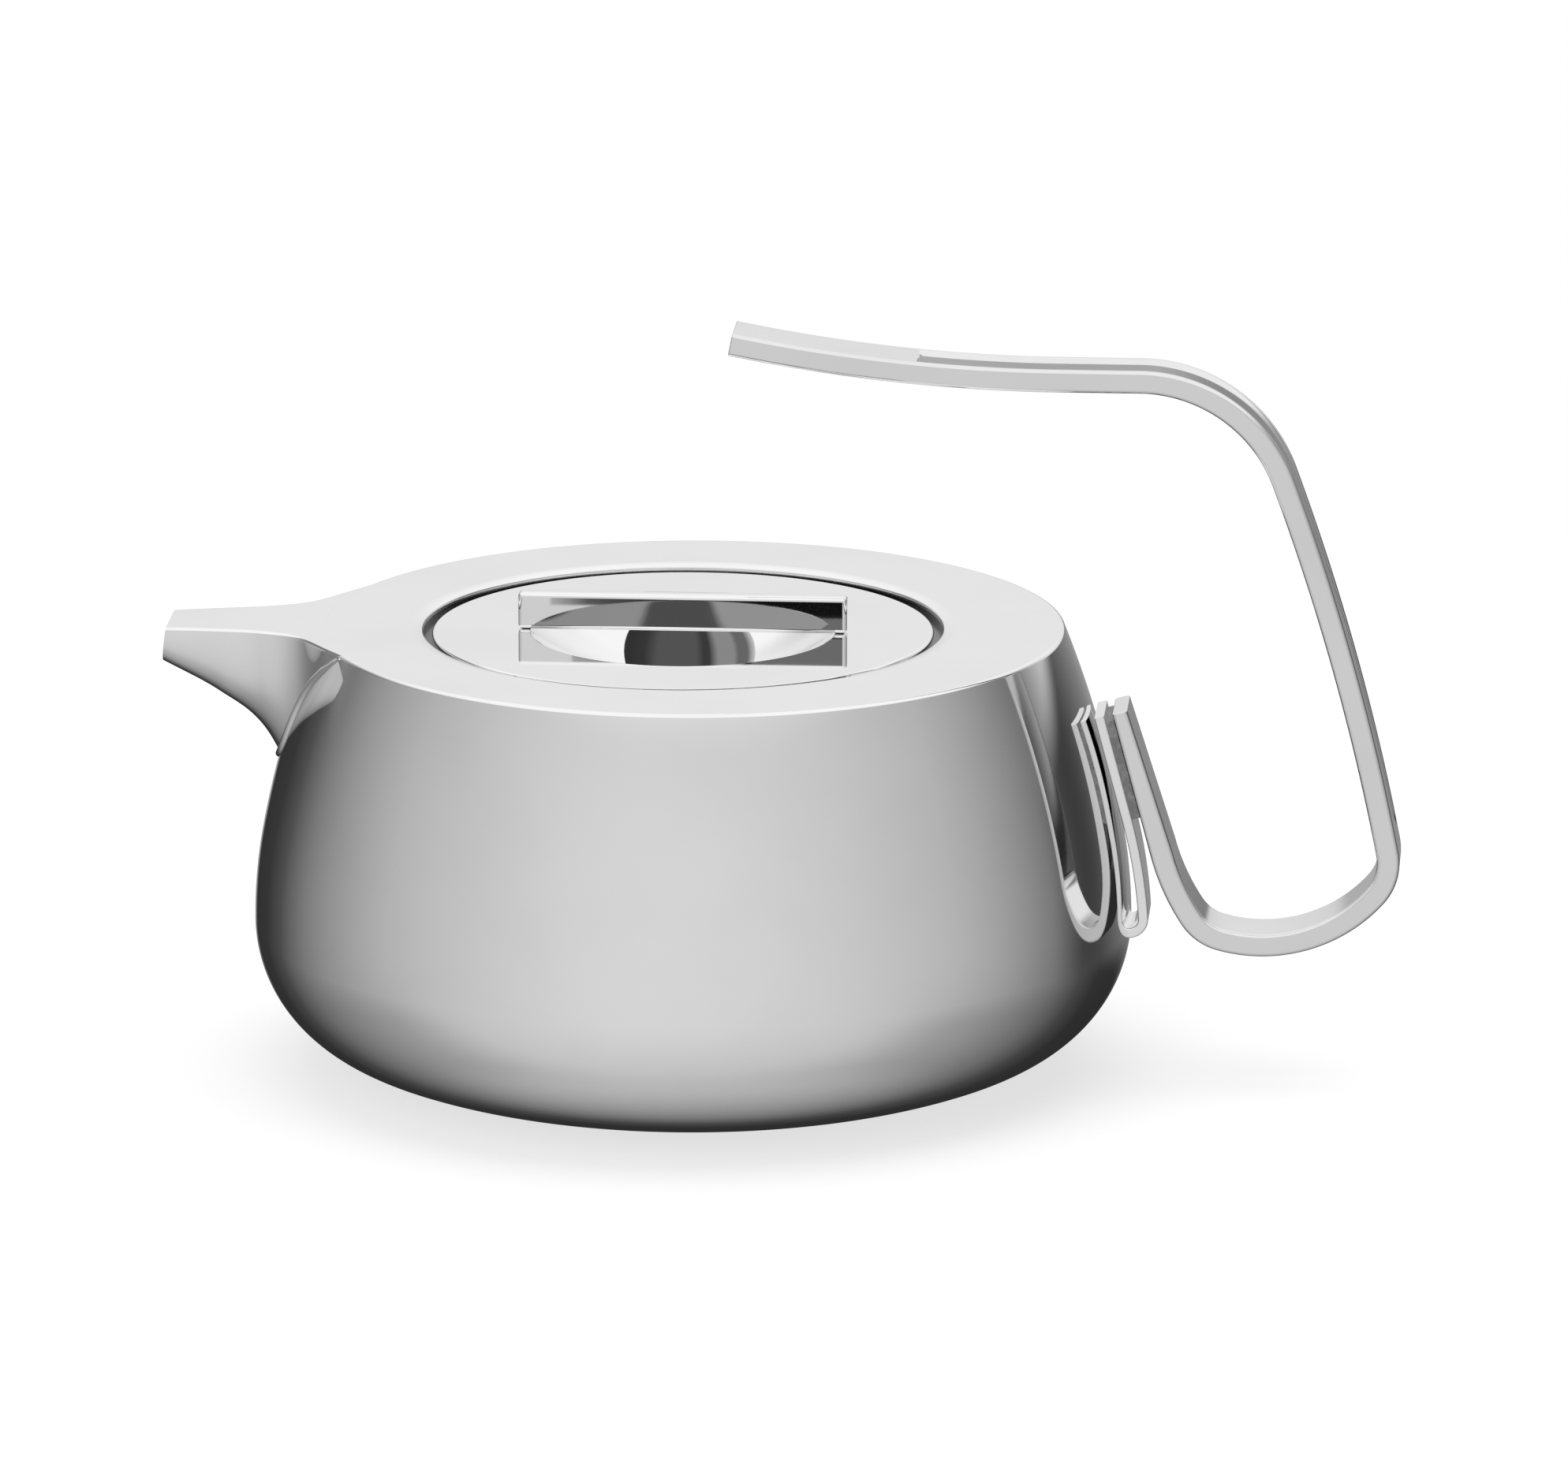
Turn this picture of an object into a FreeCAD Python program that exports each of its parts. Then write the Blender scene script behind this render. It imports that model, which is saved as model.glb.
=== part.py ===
import FreeCAD, Part
import math
import os

import Sketcher

# A low silver teapot with a beak spout, a drop-in lid and a strap handle.
# Millimetres. The origin is on the body's axis, on the surface that the pot stands on.
# +Z is up, the spout points along -X and the handle along +X.

SIZES = {
    # Body, two spun halves that meet at the belly, described by their outer arcs from the flat bottom up
    "belly_radius": 80.0,
    "body_height": 82.0,
    "base_sweep_radius": 62.0,
    "base_sweep_angle": 23.2,
    "belly_turn_radius": 25.0,
    "side_lower_radius": 89.0,
    "side_lower_angle": 11.1,
    "side_upper_radius": 208.0,
    "body_wall": 1.2,
    "plate_thickness": 1.2,
    # Strainer, a pierced sheet over the window in the body's side that opens into the spout
    "strainer_hole_radius": 1.5,
    "strainer_pitch": 4.6,
    "strainer_rows": 4,
    "strainer_top_drop": 5.0,
    "strainer_thickness": 0.8,
    "strainer_overlap": 2.0,
    "window_margin": 2.2,
    # Mouth and lid
    "mouth_radius": 47.3,
    "mouth_shift": 1.8,
    "lid_gap": 1.7,
    "lid_recess": 0.9,
    "lid_thickness": 1.4,
    "seat_overlap": 4.0,
    "seat_wall": 1.2,
    "plug_clearance": 0.3,
    "plug_height": 7.0,
    "plug_wall": 1.2,
    "dimple_radius": 27.8,
    "dimple_depth": 10.0,
    "bowl_wall": 1.2,
    "blade_length": 60.0,
    "blade_height": 6.8,
    "blade_thickness": 3.4,
    # Spout, given by its half width and its depth at six stations that step out from the rim
    "spout_wall": 1.0,
    "spout_fall": 0.4,
    "solder_gap": 0.05,
    "keel_fullness_share": 0.66,
    "heel_inset": 11.5,
    "heel_width_share": 0.955,
    "heel_depth": 56.0,
    "flare_step": 8.5,
    "flare_half_width": 23.3,
    "flare_depth": 44.0,
    "root_step": 6.3,
    "root_half_width": 14.2,
    "root_depth": 34.0,
    "neck_step": 7.2,
    "neck_half_width": 10.4,
    "neck_depth": 20.2,
    "beak_step": 8.0,
    "beak_half_width": 8.8,
    "beak_depth": 13.5,
    "tip_step": 10.6,
    "tip_half_width": 7.4,
    "tip_depth": 7.4,
    # Handle strap, as the runs and bends of its middle line from the joint up to the free end
    "strap_width": 12.5,
    "strap_thickness": 4.1,
    "strap_taper": 1.3,
    "joint_lean_angle": 15.0,
    "joint_drop": 24.4,
    "joint_length": 20.0,
    "joint_tail": 7.7,
    "rise_bend_radius": 41.3,
    "rise_bend_angle": 18.3,
    "inner_bend_radius": 9.2,
    "inner_bend_angle": 41.5,
    "loop_bend_radius": 27.7,
    "loop_bend_angle": 64.2,
    "outer_bend_radius": 9.5,
    "outer_bend_angle": 52.2,
    "leg_bow_radius": 446.0,
    "leg_bow_angle": 9.2,
    "top_bend_radius": 27.8,
    "grip_length": 14.5,
    "grip_bow_radius": 306.0,
    "grip_bow_angle": 11.2,
    "groove_width": 4.0,
    "groove_depth": 1.0,
    "groove_overrun": 26.0,
    # Joint between strap and body
    "spacer_thickness": 1.5,
    "bracket_thickness": 1.8,
    "bracket_gap": 0.5,
    "bracket_bow_radius": 95.0,
    "bracket_bow_angle": 11.2,
    "bracket_curl_radius": 2.6,
    "bracket_foot": 2.5,
    "spacer_inset": 0.4,
    "spacer_drop": 1.2,
    "pin_radius": 1.2,
    "pin_clearance": 0.02,
    "pin_spacing": 10.0,
    "pin_depth": 2.2,
}

doc = FreeCAD.newDocument("teapot")
sheet = doc.addObject("Spreadsheet::Sheet", "Sizes")
for row, (alias, value) in enumerate(SIZES.items(), start=1):
    sheet.set(f"A{row}", alias)
    sheet.set(f"B{row}", str(value))
    sheet.setAlias(f"B{row}", alias)
doc.recompute()


def size(alias):
    """The number in the sheet's cell of that name."""
    return float(sheet.get(alias))


def point(x, y):
    return FreeCAD.Vector(x, y, 0)


UP = FreeCAD.Vector(0, 0, 1)
QUARTER_TURN = 90
HALF_TURN = 180
FULL_TURN = 360


class Track:
    """A line of straight runs and tangent bends, drawn like a pen that moves and turns.

    Angles are in degrees, anticlockwise from the sketch's own X axis.
    """

    def __init__(self, x, y, heading):
        self.x = x
        self.y = y
        self.heading = heading
        self.steps = []

    def run(self, length):
        turn = math.radians(self.heading)
        start = (self.x, self.y)
        self.x += length * math.cos(turn)
        self.y += length * math.sin(turn)
        self.steps.append(("run", start, (self.x, self.y), self.heading))
        return self

    def bend(self, radius, angle):
        """Turn left by a positive angle and right by a negative one."""
        side = 1 if angle > 0 else -1
        normal = math.radians(self.heading + QUARTER_TURN * side)
        centre = (self.x + radius * math.cos(normal), self.y + radius * math.sin(normal))
        first = self.heading - QUARTER_TURN * side
        self.heading += angle
        last = math.radians(self.heading - QUARTER_TURN * side)
        self.x = centre[0] + radius * math.cos(last)
        self.y = centre[1] + radius * math.sin(last)
        self.steps.append(("bend", centre, radius, first, first + angle, side))
        return self

    def edges(self, offset):
        """The track's edges moved sideways, to the left for a positive offset."""
        found = []
        for step in self.steps:
            if step[0] == "run":
                normal = math.radians(step[3] + QUARTER_TURN)
                shift = point(offset * math.cos(normal), offset * math.sin(normal))
                found.append(Part.LineSegment(point(*step[1]) + shift, point(*step[2]) + shift))
            else:
                centre, radius, first, last, side = step[1:]
                circle = Part.Circle(point(*centre), UP, radius - side * offset)
                low, high = sorted((math.radians(first), math.radians(last)))
                found.append(Part.ArcOfCircle(circle, low, high))
        return found

    def end(self, offset, at_start=False):
        """The track's first or last point, moved sideways."""
        step = self.steps[0 if at_start else -1]
        if step[0] == "run":
            place = step[1] if at_start else step[2]
            normal = math.radians(step[3] + QUARTER_TURN)
            return point(place[0] + offset * math.cos(normal), place[1] + offset * math.sin(normal))
        centre, radius, first, last, side = step[1:]
        turn = math.radians(first if at_start else last)
        reach = radius - side * offset
        return point(centre[0] + reach * math.cos(turn), centre[1] + reach * math.sin(turn))


def new_body(label):
    body = doc.addObject("PartDesign::Body", label)
    body.Label = label
    return body


def plane_of(body, role):
    return next(item for item in body.Origin.OriginFeatures if item.Role == role)


def new_sketch(body, name, role, lift=0.0):
    """An empty sketch on one of the body's own planes, lifted off it."""
    sketch = body.newObject("Sketcher::SketchObject", f"{body.Name}_{name}")
    sketch.AttachmentSupport = [(plane_of(body, role), "")]
    sketch.MapMode = "FlatFace"
    sketch.AttachmentOffset = FreeCAD.Placement(FreeCAD.Vector(0, 0, lift), FreeCAD.Rotation())
    return sketch


def draw_line(sketch, start, stop):
    sketch.addGeometry(Part.LineSegment(start, stop))


def draw_corners(sketch, corners):
    """A closed outline of straight edges between points."""
    first = sketch.GeometryCount
    for start, stop in zip(corners, corners[1:] + corners[:1]):
        draw_line(sketch, start, stop)
    for index in range(len(corners)):
        after = first + (index + 1) % len(corners)
        sketch.addConstraint(Sketcher.Constraint("Coincident", first + index, 2, after, 1))


def draw_closed(sketch, corners):
    """A closed outline of straight edges between pairs of numbers."""
    draw_corners(sketch, [point(*corner) for corner in corners])


def draw_band(sketch, track, low, high):
    """The closed outline between two sideways offsets of a track."""
    for edge in track.edges(low) + track.edges(high):
        sketch.addGeometry(edge)
    for at_start in (True, False):
        draw_line(sketch, track.end(low, at_start), track.end(high, at_start))


def revolve(body, sketch):
    turn = body.newObject("PartDesign::Revolution", f"{body.Name}_turn")
    turn.Profile = sketch
    turn.ReferenceAxis = (sketch, ["V_Axis"])
    turn.Angle = FULL_TURN
    return turn


def revolve_away(body, sketch):
    turn = body.newObject("PartDesign::Groove", f"{body.Name}_bored")
    turn.Profile = sketch
    turn.ReferenceAxis = (sketch, ["V_Axis"])
    turn.Angle = FULL_TURN
    return turn


def pad_both_ways(body, sketch, length):
    pad = body.newObject("PartDesign::Pad", f"{sketch.Name}_pad")
    pad.Profile = sketch
    pad.Midplane = True
    pad.setExpression("Length", length)
    return pad


def pocket_both_ways(body, sketch, length):
    pocket = body.newObject("PartDesign::Pocket", f"{sketch.Name}_cut")
    pocket.Profile = sketch
    pocket.Midplane = True
    pocket.setExpression("Length", length)
    return pocket


# Levels and radii that several pieces share
top_level = size("body_height")
plate_under = top_level - size("plate_thickness")
lid_top = top_level - size("lid_recess")
lid_under = lid_top - size("lid_thickness")
lid_radius = size("mouth_radius") - size("lid_gap")
seat_radius = lid_radius - size("seat_overlap")
plug_radius = seat_radius - size("plug_clearance")
bowl_rim_radius = size("dimple_radius") + size("bowl_wall")


def base_track():
    """The body's outer profile from the middle of the bottom up to the belly."""
    sweep = math.radians(size("base_sweep_angle"))
    flat = size("belly_radius") - size("base_sweep_radius") * math.sin(sweep)
    flat -= size("belly_turn_radius") * (1 - math.sin(sweep))
    track = Track(0, 0, 0).run(flat)
    track.bend(size("base_sweep_radius"), size("base_sweep_angle"))
    return track.bend(size("belly_turn_radius"), QUARTER_TURN - size("base_sweep_angle"))


def lower_side_track():
    """The body's outer profile from the belly up to the side's last arc."""
    belly = base_track()
    return Track(belly.x, belly.y, belly.heading).bend(size("side_lower_radius"), size("side_lower_angle"))


def side_angle(level, offset):
    """The angle on the side's upper arc, moved inwards by offset, that reaches a level."""
    rise = level - upper_centre[1]
    return math.degrees(math.asin(rise / (size("side_upper_radius") - offset)))


def side_radius(level, offset=0.0):
    """The radius of the body's side at a level above the belly, moved inwards by offset."""
    reach = size("side_upper_radius") - offset
    return upper_centre[0] + reach * math.cos(math.radians(side_angle(level, offset)))


base = base_track()
lower_side = lower_side_track()
inward = math.radians(lower_side.heading + QUARTER_TURN)
upper_centre = (
    lower_side.x + size("side_upper_radius") * math.cos(inward),
    lower_side.y + size("side_upper_radius") * math.sin(inward),
)


def draw_side(sketch, level, offset):
    """The side's profile at an inward offset, from the belly up to a level."""
    for edge in lower_side.edges(offset):
        sketch.addGeometry(edge)
    reach = size("side_upper_radius") - offset
    circle = Part.Circle(point(*upper_centre), UP, reach)
    low = math.radians(size("side_lower_angle"))
    sketch.addGeometry(Part.ArcOfCircle(circle, low, math.radians(side_angle(level, offset))))


def draw_base(sketch, offset):
    """The bottom's profile at an inward offset, from the axis out to the belly."""
    for edge in base.edges(offset):
        sketch.addGeometry(edge)


def cut_by_body(body):
    """Cut away what lies within the body's outer face, so that a piece meets it there."""
    bore = new_sketch(body, "body_outline", "XZ_Plane")
    draw_base(bore, 0)
    draw_side(bore, plate_under, 0)
    draw_line(bore, point(side_radius(plate_under), plate_under), point(0, plate_under))
    draw_line(bore, point(0, plate_under), point(0, 0))
    revolve_away(body, bore)


def make_body_base():
    body = new_body("body_base")
    sketch = new_sketch(body, "profile", "XZ_Plane")
    wall = size("body_wall")
    draw_base(sketch, 0)
    draw_base(sketch, wall)
    draw_line(sketch, point(0, 0), point(0, wall))
    draw_line(sketch, base.end(0), base.end(wall))
    revolve(body, sketch)
    return body


def make_body_shell():
    body = new_body("body_shell")
    sketch = new_sketch(body, "profile", "XZ_Plane")
    wall = size("body_wall")
    draw_side(sketch, plate_under, 0)
    draw_side(sketch, plate_under, wall)
    draw_line(sketch, base.end(0), base.end(wall))
    outer = point(side_radius(plate_under), plate_under)
    inner = point(side_radius(plate_under, wall), plate_under)
    draw_line(sketch, outer, inner)
    revolve(body, sketch)

    window = new_sketch(body, "window", "YZ_Plane")
    rows = strainer_rows()
    corners = []
    for row, side in ((rows[0], 1), (rows[-1], -1)):
        half, level = strainer_reach(row) + size("window_margin"), row[0][1] + side * size("window_margin")
        corners += [(-side * half, level), (side * half, level)]
    draw_closed(window, corners)
    opened = body.newObject("PartDesign::Pocket", "spout_window")
    opened.Profile = window
    opened.setExpression("Length", "Sizes.belly_radius + Sizes.body_wall")
    return body


def strainer_rows():
    """The centres of the strainer's holes, row by row, a triangle that narrows downwards with the spout."""
    pitch = size("strainer_pitch")
    count = int(size("strainer_rows"))
    rows = []
    for row in range(count):
        holes = count + 1 - row
        level = plate_under - size("strainer_top_drop") - row * pitch
        rows.append([((column - (holes - 1) / 2) * pitch, level) for column in range(holes)])
    return rows


def strainer_reach(row):
    """How far a row's last hole lies from the middle."""
    return row[-1][0]


def make_strainer_sheet():
    """A sheet curved to the inside of the wall behind the spout, larger than the window all round."""
    body = new_body("strainer_sheet")
    rows = strainer_rows()
    beyond = size("window_margin") + size("strainer_overlap")
    low, high = rows[-1][0][1] - beyond, rows[0][0][1] + beyond
    near = size("body_wall") + size("solder_gap")
    far = near + size("strainer_thickness")
    strip = new_sketch(body, "section", "XZ_Plane")
    for offset in (near, far):
        reach = size("side_upper_radius") - offset
        circle = Part.Circle(point(-upper_centre[0], upper_centre[1]), UP, reach)
        first, last = (math.radians(HALF_TURN - side_angle(level, offset)) for level in (high, low))
        strip.addGeometry(Part.ArcOfCircle(circle, first, last))
    for level in (low, high):
        draw_line(strip, point(-side_radius(level, near), level), point(-side_radius(level, far), level))
    sheet_turn = revolve(body, strip)
    half_turn = math.degrees(math.asin((strainer_reach(rows[0]) + beyond) / side_radius(high, near)))
    sheet_turn.Angle = 2 * half_turn
    sheet_turn.Midplane = True

    holes = new_sketch(body, "holes", "YZ_Plane")
    for row in rows:
        for centre in row:
            holes.addGeometry(Part.Circle(point(*centre), UP, size("strainer_hole_radius")))
    pierced = body.newObject("PartDesign::Pocket", "strainer_holes")
    pierced.Profile = holes
    pierced.setExpression("Length", "Sizes.belly_radius")
    return body


def spout_stations():
    """Reach, half width, depth and roof level of the spout, from its heel inside the rim out to its tip."""
    rim = side_radius(top_level)
    reach = rim - size("heel_inset")
    half_width = size("heel_width_share") * math.sqrt(rim ** 2 - reach ** 2)
    stations = [(reach, half_width, size("heel_depth"), top_level)]
    names = ("flare", "root", "neck", "beak", "tip")
    fall_length = sum(size(f"{name}_step") for name in names[2:])
    fallen = 0
    for name in names:
        reach += size(f"{name}_step")
        if name in names[2:]:
            fallen += size(f"{name}_step") / fall_length
        level = top_level - size("spout_fall") * fallen ** 2
        stations.append((reach, size(f"{name}_half_width"), size(f"{name}_depth"), level))
    return stations


def draw_keel(sketch, half_width, top, keel):
    """A flat top edge and a rounded keel made of two quarter curves."""
    ease = size("keel_fullness_share")
    flank = top - ease * (top - keel)
    right = Part.BezierCurve()
    right.setPoles([point(half_width, top), point(half_width, flank),
                    point(ease * half_width, keel), point(0, keel)])
    left = Part.BezierCurve()
    left.setPoles([point(0, keel), point(-ease * half_width, keel),
                   point(-half_width, flank), point(-half_width, top)])
    draw_line(sketch, point(-half_width, top), point(half_width, top))
    sketch.addGeometry(right.toBSpline())
    sketch.addGeometry(left.toBSpline())


def loft_spout(body, name, kind, draw):
    """A loft along the spout through one sketch at each station."""
    sketches = []
    for number, station in enumerate(spout_stations()):
        sketch = new_sketch(body, f"{name}_{number}", "YZ_Plane", -station[0])
        draw(sketch, *station[1:])
        sketches.append(sketch)
    loft = body.newObject(kind, f"{body.Name}_{name}")
    loft.Profile = sketches[0]
    loft.Sections = sketches[1:]
    return loft


def draw_trough(sketch, half_width, depth, level):
    draw_keel(sketch, half_width, level - size("plate_thickness") - size("solder_gap"), level - depth)


def draw_channel(sketch, half_width, depth, level):
    """The hollow of the trough, open at its top."""
    wall = size("spout_wall")
    draw_keel(sketch, half_width - wall, level, level - depth + wall)


def draw_roof(sketch, half_width, depth, level):
    under = level - size("plate_thickness")
    draw_closed(sketch, [(-half_width, under), (half_width, under),
                         (half_width, level), (-half_width, level)])


def make_spout_trough():
    body = new_body("spout_trough")
    loft_spout(body, "outside", "PartDesign::AdditiveLoft", draw_trough)
    loft_spout(body, "channel", "PartDesign::SubtractiveLoft", draw_channel)
    cut_by_body(body)
    return body


def make_shoulder_plate():
    body = new_body("shoulder_plate")
    loft_spout(body, "roof", "PartDesign::AdditiveLoft", draw_roof)
    ring = new_sketch(body, "ring", "XZ_Plane")
    draw_closed(ring, [(0, plate_under), (side_radius(plate_under), plate_under),
                       (side_radius(top_level), top_level), (0, top_level)])
    revolve(body, ring)
    mouth = new_sketch(body, "mouth", "XY_Plane")
    centre = point(-size("mouth_shift"), 0)
    mouth.addGeometry(Part.Circle(centre, UP, size("mouth_radius")))
    pocket_both_ways(body, mouth, "2 * Sizes.body_height + Sizes.plate_thickness")
    return body


def make_turned(label, corners):
    """A ring or disc about the mouth's axis, from its straight-edged section."""
    body = new_body(label)
    sketch = new_sketch(body, "section", "XZ_Plane")
    draw_closed(sketch, corners)
    revolve(body, sketch)
    body.setExpression("Placement.Base.x", "-Sizes.mouth_shift")
    return body


def make_lid_seat_ring():
    outer = size("mouth_radius") + size("seat_wall")
    ledge_under = lid_under - size("seat_wall")
    return make_turned("lid_seat_ring", [
        (seat_radius, ledge_under), (outer, ledge_under), (outer, plate_under),
        (size("mouth_radius"), plate_under), (size("mouth_radius"), lid_under), (seat_radius, lid_under)])


def make_lid_disc():
    return make_turned("lid_disc", [
        (bowl_rim_radius, lid_under), (lid_radius, lid_under),
        (lid_radius, lid_top), (bowl_rim_radius, lid_top)])


def make_lid_plug_ring():
    foot = lid_under - size("plug_height")
    inner = plug_radius - size("plug_wall")
    return make_turned("lid_plug_ring", [
        (inner, foot), (plug_radius, foot), (plug_radius, lid_under), (inner, lid_under)])


def make_lid_bowl():
    """The dimple is part of a sphere, with a short upright edge that fits the disc's hole."""
    body = new_body("lid_bowl")
    sketch = new_sketch(body, "section", "XZ_Plane")
    radius = (size("dimple_radius") ** 2 + size("dimple_depth") ** 2) / (2 * size("dimple_depth"))
    middle = lid_top - size("dimple_depth") + radius
    outer_radius = radius + size("bowl_wall")
    corner = middle - math.sqrt(outer_radius ** 2 - bowl_rim_radius ** 2)
    centre = point(0, middle)
    down = math.radians(-QUARTER_TURN)
    inner_end = math.atan2(lid_top - middle, size("dimple_radius"))
    outer_end = math.atan2(corner - middle, bowl_rim_radius)
    bottom = middle - radius
    sketch.addGeometry(Part.ArcOfCircle(Part.Circle(centre, UP, radius), down, inner_end))
    draw_line(sketch, point(size("dimple_radius"), lid_top), point(bowl_rim_radius, lid_top))
    draw_line(sketch, point(bowl_rim_radius, lid_top), point(bowl_rim_radius, corner))
    sketch.addGeometry(Part.ArcOfCircle(Part.Circle(centre, UP, outer_radius), down, outer_end))
    draw_line(sketch, point(0, bottom - size("bowl_wall")), point(0, bottom))
    revolve(body, sketch)
    body.setExpression("Placement.Base.x", "-Sizes.mouth_shift")
    return body


def make_lid_blade():
    body = new_body("lid_blade")
    sketch = new_sketch(body, "face", "XZ_Plane")
    half = size("blade_length") / 2
    draw_closed(sketch, [(-half, lid_top), (half, lid_top),
                         (half, lid_top + size("blade_height")), (-half, lid_top + size("blade_height"))])
    pad_both_ways(body, sketch, "Sizes.blade_thickness")
    body.setExpression("Placement.Base.x", "-Sizes.mouth_shift")
    return body


# The joint stack leans with the strap: bracket, spacer and strap lie one on the other
joint_heading = QUARTER_TURN + size("joint_lean_angle")
outward = math.radians(joint_heading - QUARTER_TURN)
along = math.radians(joint_heading)


def joint_point(depth, height):
    """A place in the joint: depth out from the bracket's inner face, height along it from the middle."""
    level = top_level - size("joint_drop")
    base = side_radius(level) + size("bracket_gap")
    return (base + depth * math.cos(outward) + height * math.cos(along),
            level + depth * math.sin(outward) + height * math.sin(along))


spacer_depth = size("bracket_thickness")
strap_depth = spacer_depth + size("spacer_thickness")


def loop_start():
    """The strap's middle line begins at the top of the joint."""
    return joint_point(strap_depth + size("strap_thickness") / 2, size("joint_length") / 2)


def loop_track():
    """The strap's middle line from its end at the joint down and round the loop."""
    track = Track(*loop_start(), joint_heading - HALF_TURN)
    track.run(size("joint_length") + size("joint_tail"))
    for name in ("rise", "inner", "loop", "outer"):
        track.bend(size(f"{name}_bend_radius"), size(f"{name}_bend_angle"))
    return track


def leg_track(bow_angle):
    """The middle line from the loop up the leg, over to the level grip and along its upturned end."""
    loop = loop_track()
    track = Track(loop.x, loop.y, loop.heading)
    track.bend(size("leg_bow_radius"), size("leg_bow_angle"))
    track.bend(size("top_bend_radius"), HALF_TURN - track.heading)
    track.run(size("grip_length"))
    return track.bend(size("grip_bow_radius"), -bow_angle)


def draw_pins(body, depth, radius):
    """Two pin circles on a plane square to the joint, at a depth out from the bracket's inner face."""
    x, level = joint_point(depth, 0)
    sketch = new_sketch(body, "pins", "YZ_Plane")
    lean = FreeCAD.Rotation(FreeCAD.Vector(1, 0, 0), -size("joint_lean_angle"))
    sketch.AttachmentOffset = FreeCAD.Placement(FreeCAD.Vector(0, level, x), lean)
    for side in (-1, 1):
        centre = point(0, side * size("pin_spacing") / 2)
        sketch.addGeometry(Part.Circle(centre, UP, radius))
    return sketch


pin_hole_radius = size("pin_radius") + size("pin_clearance")


def make_handle_strap():
    body = new_body("handle_strap")
    half = size("strap_thickness") / 2
    track = loop_track()
    track.steps += leg_track(size("grip_bow_angle")).steps
    outline = new_sketch(body, "outline", "XZ_Plane")
    draw_band(outline, track, -half, half)
    pad_both_ways(body, outline, "Sizes.strap_width")

    # The groove runs in the outer face, up the leg, over the top bend and a way along the grip
    overrun = math.degrees(size("groove_overrun") / size("grip_bow_radius"))
    channel = new_sketch(body, "groove", "XZ_Plane")
    draw_band(channel, leg_track(overrun), -half - size("groove_depth"), -half + size("groove_depth"))
    pocket_both_ways(body, channel, "Sizes.groove_width")

    # The strap thins towards its end at the joint, on the face away from the spacer
    taper = new_sketch(body, "taper", "XZ_Plane")
    joint_run = Track(*loop_start(), joint_heading - HALF_TURN)
    joint_run.run(size("joint_length") + size("joint_tail"))
    draw_corners(taper, [joint_run.end(half), joint_run.end(half - size("strap_taper"), at_start=True),
                         joint_run.end(half + size("strap_taper"), at_start=True)])
    pocket_both_ways(body, taper, "2 * Sizes.strap_width")

    holes = body.newObject("PartDesign::Pocket", "strap_pin_holes")
    holes.Profile = draw_pins(body, strap_depth, pin_hole_radius)
    holes.Reversed = True
    holes.setExpression("Length", "Sizes.pin_depth + Sizes.pin_clearance")
    return body


def make_handle_bracket():
    """A strip that stands off the body, bows in along it and curls round to meet it at its lower end."""
    body = new_body("handle_bracket")
    half = size("bracket_thickness") / 2
    start = joint_point(half, size("joint_length") / 2)
    track = Track(*start, joint_heading - HALF_TURN).run(size("joint_length"))
    track.bend(size("bracket_bow_radius"), -size("bracket_bow_angle"))
    track.bend(size("bracket_curl_radius"), -QUARTER_TURN).run(size("bracket_foot"))
    outline = new_sketch(body, "outline", "XZ_Plane")
    draw_band(outline, track, -half, half)
    pad_both_ways(body, outline, "Sizes.strap_width")
    holes = draw_pins(body, half, pin_hole_radius)
    pocket_both_ways(body, holes, "Sizes.bracket_thickness * 2")
    cut_by_body(body)
    return body


def make_heat_break_spacer():
    body = new_body("heat_break_spacer")
    half = size("spacer_thickness") / 2
    start = joint_point(spacer_depth + half, size("joint_length") / 2 - size("spacer_drop"))
    track = Track(*start, joint_heading - HALF_TURN).run(size("joint_length") - size("spacer_drop"))
    outline = new_sketch(body, "outline", "XZ_Plane")
    draw_band(outline, track, -half, half)
    pad_both_ways(body, outline, "Sizes.strap_width - 2 * Sizes.spacer_inset")
    holes = draw_pins(body, spacer_depth + half, pin_hole_radius)
    pocket_both_ways(body, holes, "Sizes.spacer_thickness * 2")
    return body


def make_handle_pins():
    pins = []
    for number, side in enumerate((-1, 1), start=1):
        pin = doc.addObject("Part::Cylinder", f"pin_{number}")
        pin.setExpression("Radius", "Sizes.pin_radius")
        pin.setExpression("Height", "Sizes.bracket_thickness + Sizes.spacer_thickness + Sizes.pin_depth")
        x, level = joint_point(0, side * size("pin_spacing") / 2)
        turn = FreeCAD.Rotation(FreeCAD.Vector(0, 1, 0), QUARTER_TURN - size("joint_lean_angle"))
        pin.Placement = FreeCAD.Placement(FreeCAD.Vector(x, 0, level), turn)
        pins.append(pin)
    group = doc.addObject("Part::Compound", "handle_pins")
    group.Label = "handle_pins"
    group.Links = pins
    return group


pieces = [
    make_body_base(),
    make_body_shell(),
    make_strainer_sheet(),
    make_shoulder_plate(),
    make_spout_trough(),
    make_lid_seat_ring(),
    make_lid_disc(),
    make_lid_bowl(),
    make_lid_blade(),
    make_lid_plug_ring(),
    make_handle_strap(),
    make_handle_bracket(),
    make_heat_break_spacer(),
    make_handle_pins(),
]
doc.recompute()

for item in doc.Objects:
    if "Invalid" in item.State or "Error" in item.State:
        raise RuntimeError(f"{item.Label} failed: {item.State}")
for piece in pieces:
    if piece.Shape.isNull() or not piece.Shape.isValid():
        raise RuntimeError(f"{piece.Label} has no valid shape")

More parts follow.
